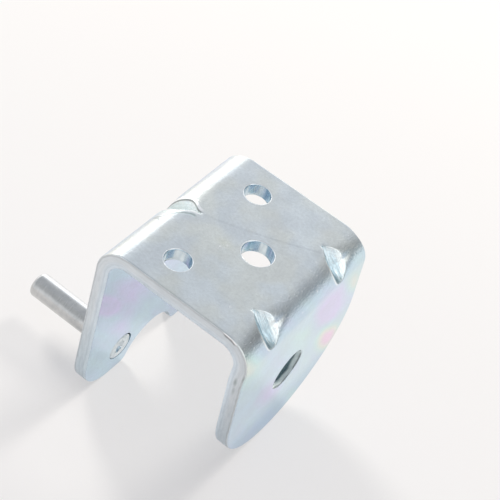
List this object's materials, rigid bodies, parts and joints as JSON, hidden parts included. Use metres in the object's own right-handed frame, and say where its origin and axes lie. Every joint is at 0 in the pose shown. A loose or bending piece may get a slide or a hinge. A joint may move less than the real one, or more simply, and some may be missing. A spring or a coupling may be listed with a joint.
{
  "type": "fridge door hinge",
  "caption": "Folded steel U-shaped hinge bracket with screw holes in its web, pressed gussets in its bends, a bored round-ended leg and a hinge pin riveted into the footed leg.",
  "frame": {"origin": "on the web's outer face, midway between the two small screw holes", "axes": "+X from the leg with the pin to the leg with the bore, +Y from the front edge to the rear edge, +Z out of the web's outer face, which is up as the bracket stands on its legs"},
  "size_m": [0.055, 0.044, 0.045],
  "materials": {
    "zinc_plated_sheet": "bright zinc plating with a faint blue cast and faint iridescent patches",
    "turned_pin_steel": "turned bare steel, slightly dull"
  },
  "bodies": {
    "root": {"bracket": "zinc_plated_sheet", "hinge_pin": "turned_pin_steel"}
  },
  "joints": []
}
